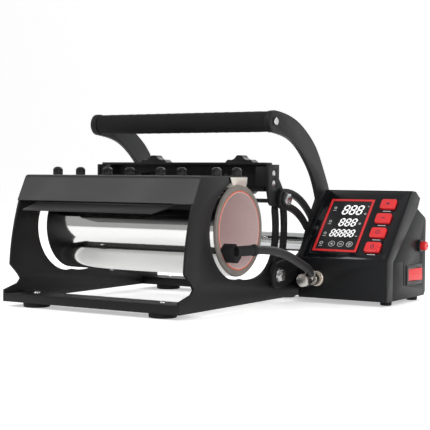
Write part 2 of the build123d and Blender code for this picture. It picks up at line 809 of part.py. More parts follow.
def fuse_holder():
    """The fuse holder: a collar outside the wall and a barrel inside it."""
    outside = rod_x(fuse_y, fuse_z, fuse_radius, box_right, box_right + 2.5)
    outside = outside + rod_x(fuse_y, fuse_z, fuse_cap_radius + 1, box_right - 26, box_right)
    return outside - rod_x(fuse_y, fuse_z, 3 + running_fit, box_right - 14, box_right + 9)


def fuse_cap():
    """The cap that turns in the fuse holder."""
    near = box_right + 2.5 + side_gap
    cap = rod_x(fuse_y, fuse_z, fuse_cap_radius + 0.8, near, near + fuse_cap_length - 2)
    cap = chamfer(cap.faces().sort_by(Axis.X)[-1].edges(), 0.8)
    cap = cap - block(near + fuse_cap_length - 3.2, near + fuse_cap_length, fuse_y - 3.6, fuse_y + 3.6,
                      fuse_z - 0.6, fuse_z + 0.6)
    return cap + rod_x(fuse_y, fuse_z, 3, box_right - 12, near)


def power_inlet():
    """The inlet in the rear wall, with three pins."""
    rim = block(inlet_x - inlet_width / 2 - 3, inlet_x + inlet_width / 2 + 3, box_rear, box_rear + 2,
                inlet_z - inlet_height / 2 - 3, inlet_z + inlet_height / 2 + 3)
    body = block(inlet_x - inlet_width / 2, inlet_x + inlet_width / 2, box_rear - 20, box_rear,
                 inlet_z - inlet_height / 2, inlet_z + inlet_height / 2)
    pocket = block(inlet_x - inlet_width / 2 + 2, inlet_x + inlet_width / 2 - 2, box_rear - 16, box_rear + 3,
                   inlet_z - inlet_height / 2 + 2, inlet_z + inlet_height / 2 - 2)
    inlet = rim + body - pocket
    for x, z in ((-7, -2), (0, 2), (7, -2)):
        inlet = inlet + block(inlet_x + x - 1, inlet_x + x + 1, box_rear - 17, box_rear - 3,
                              inlet_z + z - 2, inlet_z + z + 2)
    return inlet


def box_bracket():
    """The block that joins the box to the end plate."""
    return block(half_width, box_left, 285, 305, 5, 28)


def box_foot(y):
    """A rubber foot under the outer side of the box."""
    foot = rod_z(box_right - 12, y, box_foot_radius, -foot_height, 0)
    return chamfer(foot.faces().sort_by(Axis.Z)[0].edges(), 1.0)


def mirrored(piece):
    """The same piece on the left of the press."""
    return mirror(piece, about=Plane.YZ)


def group(*pieces):
    """Several solids as one named node."""
    solids = []
    for piece in pieces:
        solids.extend(piece.solids())
    return Compound(solids) if len(solids) > 1 else solids[0]


def pair(piece):
    """A piece and its twin on the left, as one node."""
    return group(piece, mirrored(piece))


right_plate = end_plate()
hood_piece = hood()
flap_piece = guide_flap()
rivets = flap_rivets()
for rivet in rivets:
    hood_piece = hood_piece - rivet
    flap_piece = flap_piece - rivet
lead_piece = heater_lead()
socket_piece = panel_socket()
connector_piece = cable_connector() - lead_piece
head_piece = plug_head() - lead_piece
rear_rail_y = plate_depth - rail_depth

pieces = {
    "left_end_plate": mirrored(right_plate),
    "right_end_plate": right_plate,
    "hood": hood_piece,
    "guide_flap": flap_piece,
    "flap_rivets": group(*rivets),
    "front_base_rail": base_rail(0),
    "rear_base_rail": base_rail(rear_rail_y),
    "rubber_feet": group(*[rubber_foot(x, y) for x, y in foot_places()]),
    "foot_screws": group(*[foot_screw(x, y) for x, y in foot_places()]),
    "top_saddle": saddle(),
    "front_clamp_bar": clamp_bar(),
    "clamp_studs": group(*[clamp_stud(x, y) for x, y in stud_places()]),
    "cap_nuts": group(*[cap_nut(x, y) for x, y in stud_places()]),
    "steel_band": band() - saddle(),
    "sponge_sleeve": sleeve_ring(felt_radius - band_fit, mat_radius, sleeve_left, sleeve_right, 0),
    "heating_mat": sleeve_ring(mat_radius, liner_radius, sleeve_left, sleeve_right, sleeve_slit),
    "inner_liner": sleeve_ring(liner_radius, bore_radius, sleeve_left, sleeve_right, sleeve_slit),
    "mat_plug": head_piece,
    "heater_cable": lead_piece,
    "cable_connector": connector_piece,
    "coupling_ring": coupling_ring(),
    "panel_socket": socket_piece,
    "pivot_bolts": pair(pivot_bolt()),
    "pivot_spacers": pair(pivot_spacer()),
    "right_lever_arm": lever_arm(),
    "left_lever_arm": mirrored(lever_arm()),
    "grip_tube": tube_x(grip_y, grip_z, grip_tube_radius, grip_screw_radius, -lever_inner, lever_inner),
    "foam_grip": tube_x(grip_y, grip_z, grip_radius, grip_tube_radius, grip_collar - lever_inner,
                        lever_inner - grip_collar),
    "grip_collars": pair(tube_x(grip_y, grip_z, grip_radius + 0.4, grip_tube_radius,
                                lever_inner - grip_collar, lever_inner)),
    "grip_screws": pair(grip_screw()),
    "lever_crossbar": tube_x(crossbar_y, crossbar_z, crossbar_radius, crossbar_radius - 2, -lever_inner,
                             lever_inner),
    "rear_beam": rear_beam(),
    "right_bracket": bracket(),
    "left_bracket": mirrored(bracket()),
    "bracket_screws": pair(group(*[bracket_screw(z) for z in bracket_screw_rows()])),
    "guide_bolts": pair(guide_bolt()),
    "star_washers": pair(star_washer()),
    "guide_nuts": pair(guide_nut()),
    "tie_rod": rod_x(tie_rod_y, tie_rod_z, tie_rod_radius, -bracket_inner, bracket_inner),
    "left_pressure_knob": pressure_knob(-knob_spacing),
    "right_pressure_knob": pressure_knob(knob_spacing),
    "front_shell": front_shell(),
    "rear_housing": rear_housing(),
    "control_panel": control_panel(),
    "display_frame": display_frame(),
    "display_glass": display_glass(),
    "circuit_board": circuit_board(),
    "set_button": button(0),
    "down_button": button(1),
    "up_button": button(2),
    "mode_button": button(3),
    "rocker_bezel": rocker_bezel(),
    "power_rocker": power_rocker(),
    "fuse_holder": fuse_holder(),
    "fuse_cap": fuse_cap(),
    "power_inlet": power_inlet(),
    "box_bracket": box_bracket(),
    "box_feet": group(box_foot(box_front + 25), box_foot(box_rear - 15)),
}

whole = group(*pieces.values()).bounding_box()
middle = whole.center()
print("moved by", round(-middle.X, 4), round(-middle.Y, 4), foot_height)

os.makedirs("parts", exist_ok=True)
for name, piece in pieces.items():
    placed = Pos(-middle.X, -middle.Y, foot_height) * piece
    solids = placed.solids()
    shape = Compound(solids) if len(solids) > 1 else solids[0]
    shape.label = name
    export_step(shape, f"parts/{name}.step")
print("cord radii", lead_radii, "cord diameter", lead_diameter)
print("cord length", round(FilletPolyline(*lead_route, radius=lead_radii).length, 1))
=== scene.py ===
"""Tumbler heat press: the visible pieces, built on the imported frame. Sizes are in millimetres
from the front lower corner of the end plates, and at() turns them into metres of the frame."""
import json
import math

import bmesh
import bpy
from bpy.props import FloatProperty, FloatVectorProperty, PointerProperty
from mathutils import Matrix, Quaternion, Vector


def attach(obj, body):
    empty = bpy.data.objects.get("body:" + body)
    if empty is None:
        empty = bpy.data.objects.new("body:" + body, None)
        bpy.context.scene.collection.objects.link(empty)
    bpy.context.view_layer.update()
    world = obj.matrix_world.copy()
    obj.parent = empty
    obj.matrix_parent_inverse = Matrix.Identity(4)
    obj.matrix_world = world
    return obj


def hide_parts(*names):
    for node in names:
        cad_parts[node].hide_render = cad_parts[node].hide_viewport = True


bl_info = {
    "name": "Tumbler heat press",
    "version": (1, 0, 0),
    "blender": (4, 5, 0),
    "location": "3D View > Sidebar > Press",
    "description": "Builds a lever heat press for tumblers with its control box",
    "category": "Object",
}

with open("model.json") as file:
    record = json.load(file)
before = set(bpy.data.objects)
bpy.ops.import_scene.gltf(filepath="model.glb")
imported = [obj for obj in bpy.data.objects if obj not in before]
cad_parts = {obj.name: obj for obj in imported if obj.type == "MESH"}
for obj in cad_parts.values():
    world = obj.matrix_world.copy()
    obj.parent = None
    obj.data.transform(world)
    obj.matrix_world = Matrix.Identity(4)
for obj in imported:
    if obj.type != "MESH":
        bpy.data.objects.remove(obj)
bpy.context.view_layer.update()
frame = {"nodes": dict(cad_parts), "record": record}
BODY_OF = {node: body for body, nodes in frame["record"]["behaviour"]["bodies"].items() for node in nodes}

# Main sizes, in millimetres
DEPTH = 315.0
HALF_WIDTH = 125.0
FOOT = 6.0
MIDDLE_X = 62.25
MIDDLE_Y = 183.8257
BORE_Y = 119.0
BORE_Z = 87.0
SLEEVE_ENDS = (-114.0, 128.2)
BAND_RIGHT = 126.2
LINER_RADII = (43.8, 44.3)
HEATER_RADII = (44.3, 45.7)
SPONGE_RADII = (45.7, 52.15)
BAND_RADIUS = 53.2
BAND_WALL = 0.95
SADDLE_FRONT = 13.5
SADDLE_REAR = 18.5
HOOD_BENDS = [(26.5, 118.5), (41.5, 148.0), (140.0, 148.0)]
HOOD_BEND_RADIUS = 3.5
ARM_INNER = 128.8
GRIP_AXIS = (190, 215)
GRIP_HALF = 125.8
GRIP_TUBE_RADII = (3, 9)
CROSSBAR_AXIS = (285, 66)
CROSSBAR_RADII = (10.2, 12.2)
FOOT_PITCH = (180, 275)
NUT_PITCH = (230.7, 44.5)
CONNECTOR_AXIS = (161.3, 24.5)
PANEL_FOOT = (136.0, 250.0, 49.0)
BUTTON_ACROSS = 94.0
BUTTON_LOW = 19.8
BUTTON_PITCH = 22.75
BUTTON_TOP = 3.0
MARK_BACK = -0.2
MARK_FRONT = 0.02

# The sloping panel rises along its run by this much
LEAN = (0.663256, 0.748393)


def at(x, y, z):
    """A point given in millimetres, in the frame's metres."""
    return Vector(((x - MIDDLE_X) / 1000, (y - MIDDLE_Y) / 1000, (z + FOOT) / 1000))


def on_panel(u, v, w):
    """A point on the sloping panel: u across, v up the slope, w out of it."""
    left, front, low = PANEL_FOOT
    return at(left + u, front + LEAN[0] * v - LEAN[1] * w, low + LEAN[1] * v + LEAN[0] * w)


def linear(code):
    """A linear colour from an sRGB hex code."""
    parts = [int(code[i:i + 2], 16) / 255 for i in (1, 3, 5)]
    return tuple(c / 12.92 if c <= 0.04045 else ((c + 0.055) / 1.055) ** 2.4 for c in parts) + (1.0,)


def colour_field(name, text, code):
    """A colour that the user can change."""
    return FloatVectorProperty(name=name, description=text, subtype="COLOR", size=4, min=0, max=1,
                               default=linear(code))


def length_field(name, text, size):
    """A length that the user can change."""
    return FloatProperty(name=name, description=text, subtype="DISTANCE", unit="LENGTH", default=size)


class PressSizes(bpy.types.PropertyGroup):
    """Sizes of the visible pieces."""
    grip_radius: length_field("Grip radius", "Outer radius of the foam grip", 0.0128)
    sheet: length_field("Sheet", "Thickness of the hood's sheet", 0.0016)
    nut_radius: length_field("Nut radius", "Radius of the knurled nuts", 0.006)
    cable: length_field("Cable", "Diameter of the heater cable", 0.010)


class PressColours(bpy.types.PropertyGroup):
    """Colours of the finishes."""
    coat: colour_field("Powder coat", "Frame and lever", "#1A1A1B")
    # The hood's colour is lighter than the frame's as painted light on its front face
    hood: colour_field("Hood coat", "Hood and flap", "#202021")
    plastic: colour_field("Plastic", "Control box", "#17181A")
    red: colour_field("Red", "Buttons, rocker and display rim", "#EE2F33")
    felt: colour_field("Felt", "End of the sponge sleeve", "#77706A")
    # The liner's pale pink is its own; the default is lighter still as painted light inside the bore
    liner: colour_field("Liner", "Inside of the sleeve", "#DCC6C4")
    heater: colour_field("Heater", "Edge of the heating mat", "#D4603C")


FINISHES = {}


def add(tree, kind, settings=None, inputs=None):
    """Add a node with its settings. An input gets a value or a link from a socket."""
    node = tree.nodes.new(kind)
    for name, value in (settings or {}).items():
        setattr(node, name, value)
    for name, value in (inputs or {}).items():
        if isinstance(value, bpy.types.NodeSocket):
            tree.links.new(value, node.inputs[name])
        else:
            node.inputs[name].default_value = value
    return node


def finish(name, colour, rough, metal=0.0, grain=900.0, bump=0.05, shift=0.12, stretch=(1, 1, 1),
           coat=0.0, sheen=0.0, spread=0.08, depth=0.0002, shine=0.5):
    """A procedural finish: fine noise of so many grains to the metre, with broad noise over it,
    drives the colour, the roughness and the relief, whose depth is in metres."""
    if name in FINISHES:
        return FINISHES[name]
    material = bpy.data.materials.new(name)
    material.use_nodes = True
    tree = material.node_tree
    shader = tree.nodes["Principled BSDF"]
    shader.inputs["Metallic"].default_value = metal
    shader.inputs["Specular IOR Level"].default_value = shine
    shader.inputs["Coat Weight"].default_value = coat
    shader.inputs["Coat Roughness"].default_value = 0.08
    shader.inputs["Sheen Weight"].default_value = sheen
    place = add(tree, "ShaderNodeTexCoord").outputs["Object"]
    drawn = add(tree, "ShaderNodeMapping", inputs={"Vector": place, "Scale": stretch}).outputs["Vector"]
    fine = add(tree, "ShaderNodeTexNoise", inputs={"Vector": drawn, "Scale": grain, "Detail": 4.0})
    broad = add(tree, "ShaderNodeTexNoise", inputs={"Vector": place, "Scale": 22.0, "Detail": 3.0})
    both = add(tree, "ShaderNodeMath", {"operation": "ADD"}, {
        0: fine.outputs["Fac"], 1: broad.outputs["Fac"]})
    half = add(tree, "ShaderNodeMath", {"operation": "MULTIPLY"}, {0: both.outputs[0], 1: 0.5}).outputs[0]
    tone = add(tree, "ShaderNodeValToRGB", inputs={"Fac": half})
    for stop, position, change in zip(tone.color_ramp.elements, (0.35, 0.65), (1 - shift, 1 + shift)):
        stop.position = position
        stop.color = tuple(min(1.0, c * change) for c in colour[:3]) + (1.0,)
    tree.links.new(tone.outputs["Color"], shader.inputs["Base Color"])
    satin = add(tree, "ShaderNodeMapRange", inputs={
        "Value": half, "From Min": 0.3, "From Max": 0.7,
        "To Min": max(0.02, rough - spread), "To Max": min(1.0, rough + spread)})
    tree.links.new(satin.outputs["Result"], shader.inputs["Roughness"])
    relief = add(tree, "ShaderNodeBump", inputs={
        "Strength": bump, "Distance": depth, "Height": fine.outputs["Fac"]})
    tree.links.new(relief.outputs["Normal"], shader.inputs["Normal"])
    FINISHES[name] = material
    return material


def cellular(name, colour, rough, cell, bump, depth, sheen=0.3):
    """A soft finish with cells, such as sponge, felt or foam."""
    material = finish(name, colour, rough, grain=700, bump=bump, shift=0.25, sheen=sheen, shine=0.2)
    tree = material.node_tree
    place = tree.nodes["Texture Coordinate"].outputs["Object"]
    cells = add(tree, "ShaderNodeTexVoronoi", inputs={"Vector": place, "Scale": cell})
    dent = add(tree, "ShaderNodeBump", inputs={
        "Strength": bump, "Distance": depth, "Height": cells.outputs["Distance"],
        "Normal": tree.nodes["Bump"].outputs["Normal"]})
    tree.links.new(dent.outputs["Normal"], tree.nodes["Principled BSDF"].inputs["Normal"])
    return material


def glow(name, colour, strength):
    """A lit mark of the display."""
    material = finish(name, colour, 0.4, grain=1200, bump=0.0, shift=0.03)
    shader = material.node_tree.nodes["Principled BSDF"]
    shader.inputs["Emission Color"].default_value = colour
    shader.inputs["Emission Strength"].default_value = strength
    return material


def coat():
    """Baked powder coat on steel: dull black with a fine orange peel, its grains 0.7 mm apart."""
    return finish("black powder coat", tuple(bpy.context.scene.press_colours.coat), 0.46, bump=0.22,
                  grain=1500, depth=0.0001, shine=0.2)


def hood_coat():
    """The hood's smoother coat. Its colour, a little lighter than the frame's, is painted light for the light
    on the hood's front face. Grains are 0.7 mm apart.
    """
    return finish("black satin coat", tuple(bpy.context.scene.press_colours.hood), 0.40, bump=0.16,
                  grain=1500, depth=0.0001, shine=0.3)


def zinc():
    """Plated screws and bolts: bright and faintly uneven, drawn at 1.7 mm to show."""
    return finish("bright zinc plate", linear("#C9CACB"), 0.24, metal=1.0, grain=600, bump=0.06)


def black_steel():
    """Oxide black on turned nuts: dark, with a soft metallic shine."""
    return finish("blackened steel", linear("#1B1B1C"), 0.34, metal=0.3, grain=900, bump=0.1)


def polished():
    """Rolled and polished stainless sheet: it mirrors its surroundings, with faint lines round the band."""
    return finish("polished stainless steel", linear("#D6D6D4"), 0.07, metal=1.0, grain=60,
                  stretch=(1, 14, 14), bump=0.015, shift=0.02, spread=0.03)


def chrome():
    """Chrome on a drawn tube: a clear mirror."""
    return finish("chrome plate", linear("#DADBDC"), 0.08, metal=1.0, grain=200, bump=0.01, shift=0.02,
                  spread=0.03)


def satin_bar():
    """Extruded aluminium: pale satin, with die lines along its length."""
    return finish("satin aluminium", linear("#D9D4CB"), 0.38, metal=0.75, grain=300,
                  stretch=(0.05, 1, 1), bump=0.08, shift=0.05)


def plastic():
    """Moulded ABS with a fine spark texture, 0.55 mm apart: black without a mirror."""
    return finish("moulded black plastic", tuple(bpy.context.scene.press_colours.plastic), 0.42,
                  grain=1800, bump=0.25, depth=0.00008, shine=0.18)


def gloss_plastic():
    """Polished ABS of the panel: deep black with clear reflections."""
    return finish("gloss black plastic", linear("#101114"), 0.16, grain=500, bump=0.01, coat=0.15,
                  spread=0.03, shine=0.3)


def red_plastic():
    """Smooth moulded red plastic with a soft gloss."""
    return finish("red plastic", tuple(bpy.context.scene.press_colours.red), 0.30, grain=500,
                  bump=0.02, shift=0.06, coat=0.25)


def rubber():
    """Moulded rubber, 0.8 mm grain: the dullest of the blacks."""
    return finish("black rubber", linear("#1A1A1B"), 0.66, grain=1300, bump=0.3, depth=0.00012, shine=0.25)


def mesh_object(name, body, nodes_replaced, material, maker, smooth=35.0):
    """A finished mesh piece that rides on a body in place of the nodes that it stands for."""
    build = bmesh.new()
    maker(build)
    bmesh.ops.remove_doubles(build, verts=build.verts, dist=1e-7)
    bmesh.ops.recalc_face_normals(build, faces=build.faces)
    mesh = bpy.data.meshes.new(name)
    build.to_mesh(mesh)
    build.free()
    piece = bpy.data.objects.new(name.replace(" ", "_"), mesh)
    bpy.context.scene.collection.objects.link(piece)
    settle(piece, body, nodes_replaced, material, smooth)
    return piece


def settle(piece, body, nodes_replaced, material, smooth=35.0):
    """Give a piece its finish, its shading, its body and the nodes that it stands for."""
    if piece.type == "MESH":
        piece.data.materials.clear()
        piece.data.materials.append(material)
        for face in piece.data.polygons:
            face.use_smooth = True
            face.material_index = 0
        piece.data.set_sharp_from_angle(angle=math.radians(smooth))
    if nodes_replaced:
        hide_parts(*nodes_replaced)
    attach(piece, body)


def converted(piece, name):
    """The piece's mesh with its modifiers worked in."""
    graph = bpy.context.evaluated_depsgraph_get()
    mesh = bpy.data.meshes.new_from_object(piece.evaluated_get(graph))
    mesh.name = name
    piece.modifiers.clear()
    old = piece.data
    piece.data = mesh
    if isinstance(old, bpy.types.Mesh):
        bpy.data.meshes.remove(old)
    return piece


def eased(node, material, edge=0.4, name=None, smooth=32.0):
    """A machined piece: the node's own form with its edges eased."""
    source = frame["nodes"][node]
    build = bmesh.new()
    build.from_mesh(source.data)
    bmesh.ops.remove_doubles(build, verts=build.verts, dist=1e-6)
    bmesh.ops.dissolve_limit(build, angle_limit=math.radians(0.5), verts=build.verts, edges=build.edges,
                             delimit={"NORMAL"})
    mesh = bpy.data.meshes.new(name or node + "_eased")
    build.to_mesh(mesh)
    build.free()
    mesh.attributes.remove(mesh.attributes["custom_normal"]) if "custom_normal" in mesh.attributes else None
    piece = bpy.data.objects.new(mesh.name, mesh)
    bpy.context.scene.collection.objects.link(piece)
    if edge > 0:
        ease = piece.modifiers.new("eased edges", "BEVEL")
        ease.width = edge / 1000
        ease.segments = 2
        ease.limit_method = "ANGLE"
        ease.angle_limit = math.radians(38)
        ease.use_clamp_overlap = True
        converted(piece, piece.name)
    settle(piece, BODY_OF[node], [node], material, smooth)
    return piece


def sweep_profile(build, rings, closed_path=False):
    """Skin a row of closed rings of points, and cap its ends."""
    rows = [[build.verts.new(p) for p in ring] for ring in rings]
    count = len(rows[0])
    last = len(rows) if closed_path else len(rows) - 1
    for i in range(last):
        a = rows[i]
        b = rows[(i + 1) % len(rows)]
        for j in range(count):
            build.faces.new((a[j], a[(j + 1) % count], b[(j + 1) % count], b[j]))
    if not closed_path:
        build.faces.new(rows[0][::-1])
        build.faces.new(rows[-1])


def lathe(build, profile, centre, segments=96):
    """Turn a closed profile of (X, radius) about an X axis through (Y, Z), in millimetres."""
    rings = []
    for i in range(segments):
        turn = 2 * math.pi * i / segments
        c, s = math.cos(turn), math.sin(turn)
        rings.append([at(along, centre[0] + radius * c, centre[1] + radius * s) for along, radius in profile])
    sweep_profile(build, rings, closed_path=True)


def ring_profile(a, b, inner, outer, ease=0.5):
    """A closed rectangular profile with eased corners."""
    corners = [(a, inner), (b, inner), (b, outer), (a, outer)]
    points = []
    for i, corner in enumerate(corners):
        before = Vector(corners[i - 1]) - Vector(corner)
        after = Vector(corners[(i + 1) % 4]) - Vector(corner)
        start = Vector(corner) + before.normalized() * ease
        end = Vector(corner) + after.normalized() * ease
        for k in range(4):
            t = k / 3
            p = start * (1 - t) ** 2 + Vector(corner) * 2 * t * (1 - t) + end * t ** 2
            points.append((p.x, p.y))
    return points


def knurl(build, centre, a, b, radius, teeth, depth, inner):
    """A ring about a Y axis, with fine teeth round it."""
    steps = teeth * 4
    profile_rows = [(a, 0.6), (a + 0.8, 1.0), (b - 0.8, 1.0), (b, 0.6)]
    rings = []
    for i in range(steps):
        turn = 2 * math.pi * i / steps
        tooth = (1, 1, 0, 0)[i % 4] * depth
        ring = []
        for along, share in profile_rows:
            ring.append((along, radius - depth + tooth * share))
        ring += [(b, inner), (a, inner)]
        c, s = math.cos(turn), math.sin(turn)
        rings.append([at(centre[0] + r * c, along, centre[1] + r * s) for along, r in ring])
    sweep_profile(build, rings, closed_path=True)


def rounded_path(points, radius, steps=6):
    """A path with its corners rounded."""
    path = [Vector(points[0])]
    for before, corner, after in zip(points, points[1:], points[2:]):
        corner = Vector(corner)
        back = (Vector(before) - corner)
        ahead = (Vector(after) - corner)
        reach = min(radius, back.length / 2.1, ahead.length / 2.1)
        start = corner + back.normalized() * reach
        end = corner + ahead.normalized() * reach
        for k in range(steps + 1):
            t = k / steps
            path.append(start * (1 - t) ** 2 + corner * 2 * t * (1 - t) + end * t ** 2)
    path.append(Vector(points[-1]))
    return path


def sheet_loop(path, thick):
    """The closed outline of a sheet along a path, on its left."""
    other = []
    for i, point in enumerate(path):
        run = path[min(i + 1, len(path) - 1)] - path[max(i - 1, 0)]
        run.normalize()
        other.append(point + Vector((-run.y, run.x)) * thick)
    return list(path) + other[::-1]


def extrude_x(build, loop, x_from, x_to):
    """Extrude a closed outline given as (Y, Z) along X."""
    rings = [[at(x, p[0], p[1]) for p in loop] for x in (x_from, x_to)]
    sweep_profile(build, rings)


# Repeats

def repeat_tree():
    """A node tree that sets one piece on every point of a flat grid of two rows."""
    name = "grid of like pieces"
    if name in bpy.data.node_groups:
        return bpy.data.node_groups[name]
    tree = bpy.data.node_groups.new(name, "GeometryNodeTree")
    tree.interface.new_socket("Geometry", in_out="OUTPUT", socket_type="NodeSocketGeometry")
    for label, kind in (("Piece", "Object"), ("Width", "Float"), ("Length", "Float"), ("Across", "Int"),
                        ("Centre", "Vector"), ("Finish", "Material")):
        tree.interface.new_socket(label, in_out="INPUT", socket_type="NodeSocket" + kind)
    given = add(tree, "NodeGroupInput").outputs
    grid = add(tree, "GeometryNodeMeshGrid", inputs={
        "Size X": given["Width"], "Size Y": given["Length"], "Vertices X": given["Across"], "Vertices Y": 2})
    moved = add(tree, "GeometryNodeTransform", inputs={
        "Geometry": grid.outputs["Mesh"], "Translation": given["Centre"]})
    one = add(tree, "GeometryNodeObjectInfo", inputs={"Object": given["Piece"]})
    spread = add(tree, "GeometryNodeInstanceOnPoints", inputs={
        "Points": moved.outputs["Geometry"], "Instance": one.outputs["Geometry"]})
    real = add(tree, "GeometryNodeRealizeInstances", inputs={"Geometry": spread.outputs["Instances"]})
    painted = add(tree, "GeometryNodeSetMaterial", inputs={
        "Geometry": real.outputs["Geometry"], "Material": given["Finish"]})
    add(tree, "NodeGroupOutput", inputs={"Geometry": painted.outputs["Geometry"]})
    return tree


def repeated(name, node, material, width, length, across, centre, maker, smooth=35.0):
    """Like pieces on a grid, made once and repeated."""
    build = bmesh.new()
    maker(build)
    bmesh.ops.recalc_face_normals(build, faces=build.faces)
    mesh = bpy.data.meshes.new(name + " one")
    build.to_mesh(mesh)
    build.free()
    one = bpy.data.objects.new(name + " one", mesh)
    bpy.context.scene.collection.objects.link(one)
    piece = bpy.data.objects.new(name.replace(" ", "_"), bpy.data.meshes.new(name))
    bpy.context.scene.collection.objects.link(piece)
    tree = repeat_tree()
    spread = piece.modifiers.new("repeat", "NODES")
    spread.node_group = tree
    keys = {item.name: item.identifier for item in tree.interface.items_tree if item.in_out == "INPUT"}
    spread[keys["Piece"]] = one
    spread[keys["Width"]] = width / 1000
    spread[keys["Length"]] = length / 1000
    spread[keys["Across"]] = across
    spread[keys["Centre"]] = centre
    spread[keys["Finish"]] = material
    converted(piece, name)
    bpy.data.objects.remove(one)
    settle(piece, BODY_OF[node], [node], material, smooth)
    return piece


def turned_part(profile, segments=48):
    """A maker of a part turned about its own Z axis, from (height, radius) in millimetres."""
    def make(build):
        rings = []
        for i in range(segments):
            turn = 2 * math.pi * i / segments
            rings.append([Vector((r * math.cos(turn), r * math.sin(turn), h)) / 1000 for h, r in profile])
        rows = [[build.verts.new(p) for p in ring] for ring in rings]
        for i in range(segments):
            a, b = rows[i], rows[(i + 1) % segments]
            for j in range(len(profile) - 1):
                build.faces.new((a[j], b[j], b[j + 1], a[j + 1]))
        bmesh.ops.remove_doubles(build, verts=build.verts, dist=1e-7)
    return make


def nut_form(build):
    """A knurled nut with a domed end, its foot at zero height."""
    radius = bpy.context.scene.press_sizes.nut_radius * 1000
    teeth = 18
    levels = [(0, 0.92, 0), (0.5, 1.0, 0.2), (0.9, 1.0, 1.0), (6.3, 1.0, 1.0), (6.8, 1.0, 0.2),
              (7.2, 0.93, 0), (8.6, 0.78, 0), (9.5, 0.5, 0), (9.9, 0.22, 0)]
    steps = teeth * 4
    rows = []
    for height, share, cut in levels:
        row = []
        for i in range(steps):
            turn = 2 * math.pi * i / steps
            r = radius * share - (0, 0, 0.55, 0.55)[i % 4] * cut
            row.append(build.verts.new(Vector((r * math.cos(turn), r * math.sin(turn), height)) / 1000))
        rows.append(row)
    for a, b in zip(rows, rows[1:]):
        for j in range(steps):
            build.faces.new((a[j], a[(j + 1) % steps], b[(j + 1) % steps], b[j]))
    build.faces.new(rows[0][::-1])
    build.faces.new(rows[-1])


# Pieces

class PRESS_OT_frame(bpy.types.Operator):
    """End plates, rails, feet and their screws"""
    bl_idname = "press.frame"
    bl_label = "Frame"

    def execute(self, context):
        for node in ("left_end_plate", "right_end_plate", "front_base_rail", "rear_base_rail", "box_bracket"):
            eased(node, coat(), 0.35)
        eased("front_clamp_bar", satin_bar(), 0.3)
        eased("clamp_studs", zinc(), 0.0)
        repeated("rubber feet", "rubber_feet", rubber(), *FOOT_PITCH, 2, at(0, DEPTH / 2, 0),
                 turned_part([(-6, 0), (-6, 14.6), (-5.6, 15.3), (-4.6, 15.8), (-1.2, 16), (-0.4, 15.8),
                              (0, 15.2), (0, 13), (8.4, 13), (8.4, 2), (-3, 2), (-3, 0)]))
        repeated("foot screws", "foot_screws", zinc(), *FOOT_PITCH, 2, at(0, DEPTH / 2, 10),
                 turned_part([(-13, 0), (-13, 1.9), (0, 1.9), (0, 4), (0.7, 4), (1.5, 3.6), (2.0, 2.8),
                              (2.2, 1.9), (2.2, 1.5), (1.2, 1.2), (1.2, 0)]))
        return {"FINISHED"}


class PRESS_OT_hood(bpy.types.Operator):
    """The folded hood, its flap and the row of nuts"""
    bl_idname = "press.hood"
    bl_label = "Hood"

    def execute(self, context):
        thick = context.scene.press_sizes.sheet * 1000
        path = rounded_path(HOOD_BENDS, HOOD_BEND_RADIUS)
        mesh_object("hood", "base", ["hood"], hood_coat(),
                    lambda b: extrude_x(b, sheet_loop(path, thick), -HALF_WIDTH, HALF_WIDTH))
        eased("guide_flap", hood_coat(), 0.35)
        eased("flap_rivets", hood_coat(), 0.0)
        repeated("cap nuts", "cap_nuts", black_steel(), *NUT_PITCH, 4, at(0, 110.95, 149.6), nut_form)
        return {"FINISHED"}


class PRESS_OT_sleeve(bpy.types.Operator):
    """The polished band, the sponge sleeve, the heating mat, the liner and the saddle"""
    bl_idname = "press.sleeve"
    bl_label = "Heated sleeve"

    def execute(self, context):
        colours = context.scene.press_colours
        felt = cellular("sponge felt", tuple(colours.felt), 0.9, 900, 0.5, 0.0004)
        # The liner's colour is its own pale pink, made lighter as painted light inside the bore
        liner = finish("silicone liner", tuple(colours.liner), 0.42, grain=500, bump=0.05, shift=0.06)
        heater = finish("silicone heater edge", tuple(colours.heater), 0.5, grain=700, bump=0.08)

        def band(build):
            low = math.degrees(math.acos(SADDLE_REAR / BAND_RADIUS))
            high = 180 - math.degrees(math.acos(SADDLE_FRONT / BAND_RADIUS))
            arc = []
            steps = 220
            for i in range(steps + 1):
                turn = math.radians(low - (360 - (high - low)) * i / steps)
                spoke = Vector((math.cos(turn), math.sin(turn)))
                arc.append(Vector((BORE_Y, BORE_Z)) + spoke * BAND_RADIUS)
            path = [Vector((139.2, 147.9))] + arc + [Vector((101.2, 147.9))]
            extrude_x(build, sheet_loop(path, -BAND_WALL), SLEEVE_ENDS[0], BAND_RIGHT)

        mesh_object("polished band", "base", ["steel_band"], polished(), band, 40)
        for name, node, material, radii, ease, slot in (
                ("sponge sleeve", "sponge_sleeve", felt, SPONGE_RADII, 0.8, "felt"),
                ("heating mat", "heating_mat", heater, HEATER_RADII, 0.2, "heater_rubber"),
                ("inner liner", "inner_liner", liner, LINER_RADII, 0.1, "liner_rubber")):
            profile = ring_profile(*SLEEVE_ENDS, *radii, ease)
            mesh_object(name, "base", [node], material,
                        lambda b, profile=profile: lathe(b, profile, (BORE_Y, BORE_Z), 160))
        eased("top_saddle", satin_bar(), 0.5)
        return {"FINISHED"}


